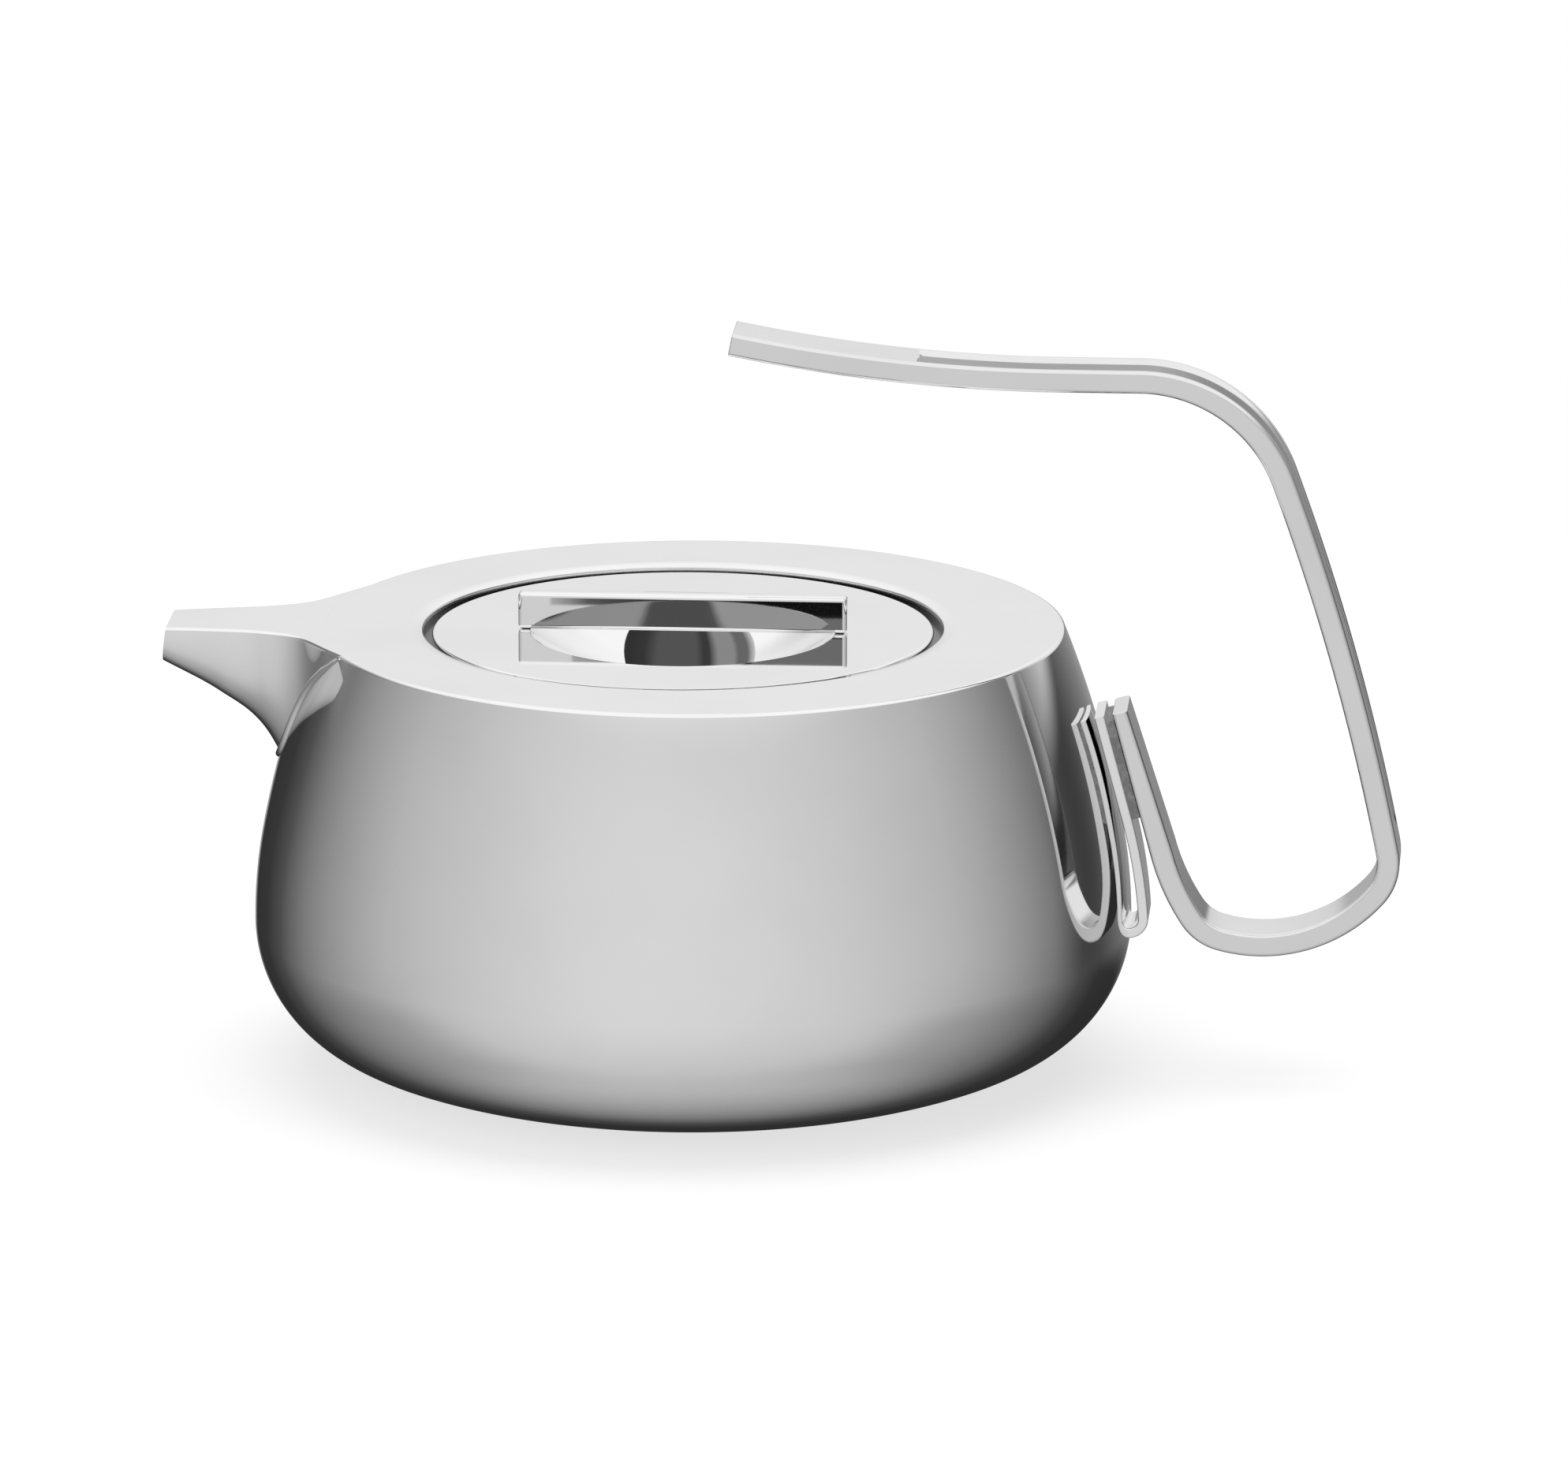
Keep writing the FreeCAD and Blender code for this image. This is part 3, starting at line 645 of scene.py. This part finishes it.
def make_strap():
    bm = bmesh.new()
    half_width, half = STRAP_WIDTH / 2, STRAP_THICKNESS / 2
    half_groove = GROOVE_WIDTH / 2
    depth = BRACKET_THICKNESS + SPACER_THICKNESS + half
    x, z = joint_point(depth, JOINT_LENGTH / 2)
    across = (-half_width, -half_groove, half_groove, half_width)
    pen = section_pen(bm, x, z, JOINT_LEAN - 90, across, half - STRAP_TAPER, -half, STRAP_ROUND)
    close_end(bm, pen)
    pen.run(JOINT_LENGTH + JOINT_TAIL)
    side = pen.ahead(90)
    middle = Vector((pen.x, 0, pen.z))
    outer = [v for v in tip_verts(pen.tip) if (v.co - middle).dot(side) > -half / 4]
    bmesh.ops.translate(bm, verts=outer, vec=side * STRAP_TAPER)
    for radius, angle in LOOP_BENDS:
        pen.bend(radius, angle, max(8, round(angle / 1.5)))
    before = set(bm.faces)
    pen.bend(*LEG_BOW, 24)
    pen.bend(TOP_BEND_RADIUS, 180 - pen.heading, 40)
    pen.run(GRIP_LENGTH)
    overrun = math.degrees(GROOVE_OVERRUN / GRIP_BOW[0])
    pen.bend(GRIP_BOW[0], -overrun, 16)
    grooved = [face for face in bm.faces if face not in before
               and all(abs(vert.co.y) < half_groove + 0.01 for vert in face.verts)]
    pen.bend(GRIP_BOW[0], overrun - GRIP_BOW[1], 16)
    close_end(bm, pen)
    bmesh.ops.recalc_face_normals(bm, faces=bm.faces[:])
    inwards = {}
    for face in grooved:
        for vert in face.verts:
            inwards.setdefault(tuple(round(c, 4) for c in vert.co), []).append(-face.normal)
    sunk = bmesh.ops.extrude_face_region(bm, geom=grooved)["geom"]
    for vert in tip_verts(sunk):
        normals = inwards[tuple(round(c, 4) for c in vert.co)]
        vert.co += sum(normals, Vector()).normalized() * GROOVE_DEPTH
        vert.co.y *= GROOVE_FLOOR
    close_up(bm)
    return new_object(bm, "handle_band")


def make_bracket(core):
    bm = bmesh.new()
    half_width, half = STRAP_WIDTH / 2, BRACKET_THICKNESS / 2
    x, z = joint_point(half, JOINT_LENGTH / 2)
    pen = section_pen(bm, x, z, JOINT_LEAN - 90, (-half_width, half_width), half, -half, BRACKET_ROUND)
    close_end(bm, pen)
    pen.run(JOINT_LENGTH)
    pen.bend(BRACKET_BOW[0], -BRACKET_BOW[1], 12)
    pen.bend(BRACKET_CURL[0], -BRACKET_CURL[1], 40)
    pen.run(BRACKET_FOOT)
    close_end(bm, pen)
    close_up(bm)
    bracket = new_object(bm, "handle_foot")
    cut_away(bracket, core)
    return bracket


core = body_core(CORE_SHRINK)
window = window_block()
pot_body = make_pot_body()
cut_away(pot_body, window)
place(pot_body, "pot", silver, "body_base", "body_shell", "shoulder_plate")
line_inside(pot_body, inner_silver)
smooth(pot_body)
spout = place(make_spout(core), "pot", silver, "spout_trough")
smooth(spout)
soften(spout, 0.3)
smooth(place(make_seam(core), "pot", silver))
lid_top = place(make_lid(), "lid", silver, "lid_disc", "lid_bowl")
smooth(lid_top)
lid_grip = place(make_blade(), "lid", silver, "lid_blade")
smooth(lid_grip)
handle_band = place(make_strap(), "pot", handle_silver, "handle_strap")
smooth(handle_band)
soften(handle_band, 0.25, angle=60)
handle_foot = place(make_bracket(core), "pot", silver, "handle_bracket")
smooth(handle_foot)
soften(handle_foot, 0.25, angle=60)
for piece in (pot_body, spout, lid_top, lid_grip, handle_band, handle_foot):
    flatten(piece)
bpy.data.objects.remove(core)
bpy.data.objects.remove(window)

CAD_FINISHES = {
    "strainer_sheet": inner_silver,
    # The seat ring carries painted shade that darkens the gap round the lid.
    "lid_seat_ring": painted_shade_silver,
    "lid_plug_ring": silver,
    "handle_pins": inner_silver,
    "heat_break_spacer": insulator,
}
for name, material in CAD_FINISHES.items():
    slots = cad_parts[name].data.materials
    slots.clear()
    slots.append(material)


# Stage: a pale floor, soft lamps, and a light tent that only the silver sees
def stage_object(bm, name, material):
    mesh = bpy.data.meshes.new(name)
    bm.to_mesh(mesh)
    bm.free()
    mesh.materials.append(material)
    obj = bpy.data.objects.new(name, mesh)
    bpy.context.scene.collection.objects.link(obj)
    return obj


def only_in_reflections(obj):
    obj.visible_camera = False
    obj.visible_diffuse = False
    obj.visible_shadow = False
    obj.visible_transmission = False
    obj.visible_volume_scatter = False


def floor_material():
    """A pale floor that turns white away from the pot and keeps its shadow close by."""
    material, tree = new_material("studio_floor")
    where = make_node(tree, "ShaderNodeTexCoord", output="Object")
    reach = make_node(tree, "ShaderNodeVectorMath", {"operation": "LENGTH"}, {0: where}, output=1)
    direct, mirrored, through = (make_node(tree, "ShaderNodeLightPath", output=kind)
                                 for kind in ("Is Camera Ray", "Is Glossy Ray", "Is Transmission Ray"))
    lit = make_node(tree, "ShaderNodeBsdfDiffuse", {}, {"Color": grey(0.9)})
    whiteness = (direct + mirrored + through) * (0.65 + reach.between(0.2, 0.6) * 0.35)
    output_surface(tree, make_node(tree, "ShaderNodeMixShader", {}, {0: whiteness, 1: lit, 2: glow(tree, 1.0)}))
    return material


def along(tree, aim, direction):
    """How far an aim of unit length goes along a direction."""
    return make_node(tree, "ShaderNodeVectorMath", {"operation": "DOT_PRODUCT"}, {0: aim, 1: direction}, output=1)


def glow(tree, level):
    return make_node(tree, "ShaderNodeEmission", {}, {"Color": grey(1.0), "Strength": level})


def tent_material():
    """The tent's cloth, grey low behind the pot, pale above that and white overhead."""
    material, tree = new_material("tent_cloth")
    where = make_node(tree, "ShaderNodeTexCoord", output="Object")
    aim = make_node(tree, "ShaderNodeVectorMath", {"operation": "NORMALIZE"}, {0: where})
    up = along(tree, aim, (0, 0, 1))
    right = along(tree, aim, (math.cos(AZIMUTH), math.sin(AZIMUTH), 0))
    facing = along(tree, aim, (math.sin(BRIGHT_SIDE), -math.cos(BRIGHT_SIDE), 0)) * 0.5 + 0.5
    level = make_node(tree, "ShaderNodeValToRGB", {"stops": [(at, grey(tone)) for at, tone in CLOTH]},
                      {"Fac": facing})
    behind = 1 - facing.between(0.04, 0.3)
    shade = up.between(-0.98, -0.75) * (1 - up.between(-0.5, -0.1)) * (1 - facing.between(0.55, 0.8))
    level = level * (1 - shade * 0.25)
    low = behind * right.between(-0.27, -0.15) * up.between(-0.34, -0.2)
    level = level * (1 - low) + (0.4 - right * 0.45) * low
    panel = behind * up.between(0.04, 0.11)
    level = level * (1 - panel) + (0.67 + up * 0.6) * panel
    overhead = up.between(0.42, 0.7)
    output_surface(tree, glow(tree, level * (1 - overhead) + overhead))
    return material


def card_material(name, left, right, stripes, bounces):
    """Stripes across a card's back, seen after so many mirrors. Otherwise the card lets everything through."""
    material, tree = new_material(name)
    where = make_node(tree, "ShaderNodeTexCoord", output="Object")
    part = make_node(tree, "ShaderNodeMapRange", {}, {
        "Value": along(tree, where, (1, 0, 0)), "From Min": left * MM, "From Max": right * MM})
    stops = [((x - left) / (right - left), grey(tone)) for x, tone in stripes]
    level = make_node(tree, "ShaderNodeValToRGB", {"stops": stops}, {"Fac": part})
    back = make_node(tree, "ShaderNodeNewGeometry", output="Backfacing")
    mirrors = make_node(tree, "ShaderNodeLightPath", output="Ray Depth")
    clear = make_node(tree, "ShaderNodeBsdfTransparent")
    output_surface(tree, make_node(tree, "ShaderNodeMixShader", {}, {
        0: back * mirrors.between(bounces - 0.6, bounces - 0.4), 1: clear, 2: glow(tree, level)}))
    return material


def card(name, low, high, stripes, bounces=2):
    """A flat card between two corners in mm, for what the dimple and the blade mirror.

    The stripes are levels at places along X, from the first corner to the second.
    """
    bm = bmesh.new()
    corners = [Vector(low), Vector((high[0], low[1], low[2])), Vector(high), Vector((low[0], high[1], high[2]))]
    faces = bmesh.ops.contextual_create(bm, geom=[bm.verts.new(corner * MM) for corner in corners])["faces"]
    bm.normal_update()
    if faces[0].normal.dot((corners[1] - corners[0]).cross(corners[3] - corners[0])) < 0:
        bmesh.ops.reverse_faces(bm, faces=faces)
    only_in_reflections(stage_object(bm, name, card_material(name, low[0], high[0], stripes, bounces)))


bm = bmesh.new()
bmesh.ops.create_grid(bm, x_segments=1, y_segments=1, size=6)
floor = stage_object(bm, "floor", floor_material())
floor.visible_glossy = False

bm = bmesh.new()
bmesh.ops.create_uvsphere(bm, u_segments=64, v_segments=32, radius=TENT_RADIUS)
only_in_reflections(stage_object(bm, "tent", tent_material()))

card("flag", (-16, -50, 97), (8, -25.5, 97),
     [(-12.6, 0.02), (-11.9, 0.3), (-6.8, 0.3), (-6.2, 0.08), (-1.8, 0.08), (-1.2, 0.33), (6, 0.33), (7, 0.02)])
card("rear_flag", (5.6, 22.5, 76), (-10.6, 22.5, 92),
     [(5.6, 0.6), (4.6, 0.14), (3.4, 0.14), (2.8, 0.26), (0.8, 0.26), (-0.3, 0.045), (-1.0, 0.045), (-1.9, 0.09),
      (-6.6, 0.09), (-8.2, 0.04), (-10.6, 0.03)], bounces=1)
card("line_screen", (-31, -60, 82), (-9, -60, 90), [(-31, 0.45), (-24, 0.1), (-9, 0.005)])
card("low_screen", (-9, -60, 82), (30, -60, 92.5), [(-9, 0.1), (0, 0.005), (30, 0.005)])
card("high_screen", (-27, -60, 92.5), (30, -60, 106), [(-27, 0.4), (-12, 0.16), (30, 0.16)])


def soft_lamp(name, location, aim, size, power):
    data = bpy.data.lights.new(name, "AREA")
    data.shape = "DISK"
    data.size = size
    data.energy = power
    lamp = bpy.data.objects.new(name, data)
    lamp.location = location
    lamp.rotation_euler = (Vector(aim) - Vector(location)).to_track_quat("-Z", "Y").to_euler()
    lamp.visible_glossy = False
    bpy.context.scene.collection.objects.link(lamp)


soft_lamp("overhead_lamp", (0.1, 0.2, 1.9), (0, 0, 0), 2.4, 34.0)
soft_lamp("front_lamp", (-0.9, -1.6, 1.3), (0, 0, 0.05), 1.6, 12.0)

world = bpy.data.worlds.new("studio")
bpy.context.scene.world = world
world.use_nodes = True
backdrop = world.node_tree.nodes["Background"]
backdrop.inputs["Color"].default_value = grey(1.0)
backdrop.inputs["Strength"].default_value = 0.6

camera_data = bpy.data.cameras.new("camera")
camera_data.sensor_fit = "HORIZONTAL"
camera_data.sensor_width = 36.0
camera_data.lens = FOCAL_LENGTH
camera_data.clip_end = 50.0
camera = bpy.data.objects.new("camera", camera_data)
bpy.context.scene.collection.objects.link(camera)
across = Vector((math.cos(AZIMUTH), math.sin(AZIMUTH), 0))
away = Vector((-math.sin(AZIMUTH) * math.cos(ELEVATION), math.cos(AZIMUTH) * math.cos(ELEVATION),
               -math.sin(ELEVATION)))
upward = across.cross(away)
centre = across * AIM_RIGHT + upward * AIM_UP
camera.matrix_world = Matrix.Translation(centre - away * DISTANCE) @ Matrix(
    (across, upward, -away)).transposed().to_4x4()
bpy.context.scene.camera = camera

bpy.context.scene.view_settings.view_transform = "Standard"

bpy.context.view_layer.update()
